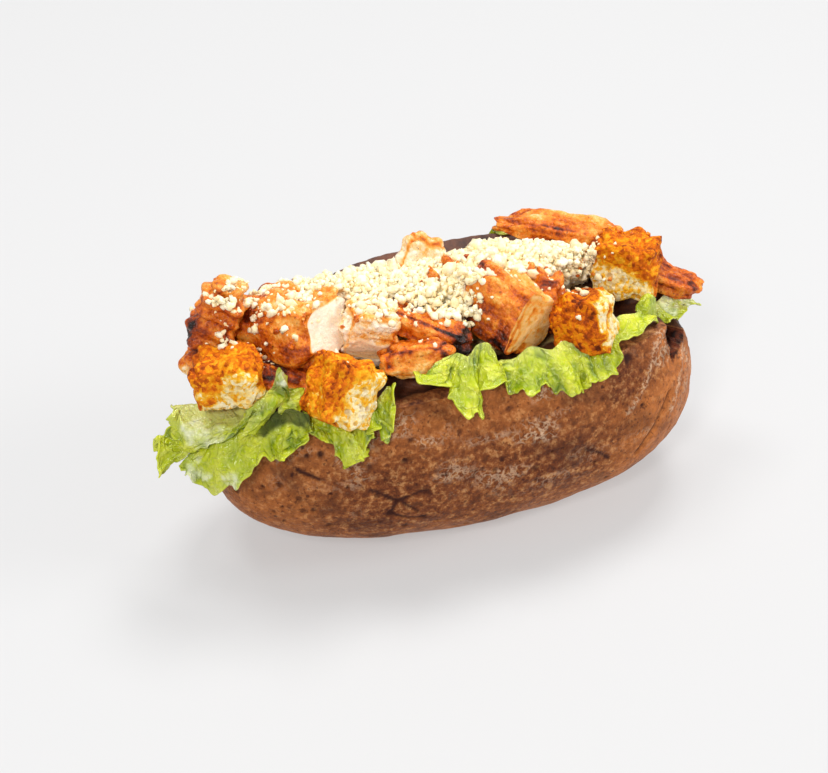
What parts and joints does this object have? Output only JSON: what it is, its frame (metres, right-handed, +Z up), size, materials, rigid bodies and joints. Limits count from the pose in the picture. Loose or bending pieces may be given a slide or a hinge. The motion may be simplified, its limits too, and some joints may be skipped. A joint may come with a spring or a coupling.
{
  "type": "baked potato",
  "caption": "Large baked potato slit along its top and filled with lettuce, grilled chicken, croutons and a heap of crumbled white cheese.",
  "frame": {"origin": "middle of the flat spot that the potato rests on, on the surface it stands on", "axes": "+Z up, X along the potato, -Y the side over which the lettuce leaves hang"},
  "size_m": [0.1946, 0.0823, 0.0991],
  "materials": {
    "skin": "dry baked potato skin, brown, finely wrinkled, with a faint sheen",
    "flesh": "soft baked potato flesh, pale yellow and crumbly",
    "crust": "toasted bread crust, golden brown, rough",
    "chicken": "grilled chicken, golden to charred, moist",
    "cheese": "crumbled white cheese, moist and matt",
    "leaf": "fresh green lettuce, waxy",
    "pale_leaf": "pale inner lettuce leaf and rib, waxy"
  },
  "bodies": {
    "root": {"cheese": "cheese", "chicken_back": "chicken", "chicken_chunk": "chicken", "chicken_crumb": "chicken", "chicken_end": "chicken", "chicken_knob": "chicken", "chicken_low": "chicken", "chicken_slab": "chicken", "chicken_strip": "chicken", "chicken_upright": "chicken", "chicken_wedge": "chicken", "chicken_white": "chicken", "crouton_1": "crust", "crouton_2": "crust", "crouton_3": "crust", "crouton_4": "crust", "lettuce_back_left": "leaf", "lettuce_back_right": "leaf", "lettuce_cup": "pale_leaf", "lettuce_curl": "leaf", "lettuce_end": "pale_leaf", "lettuce_far_right": "leaf", "lettuce_fold": "leaf", "lettuce_front": "leaf", "lettuce_left": "leaf", "lettuce_middle": "leaf", "lettuce_right": "leaf", "lettuce_tip": "leaf", "lettuce_tongue": "leaf", "potato": "skin"}
  },
  "joints": []
}
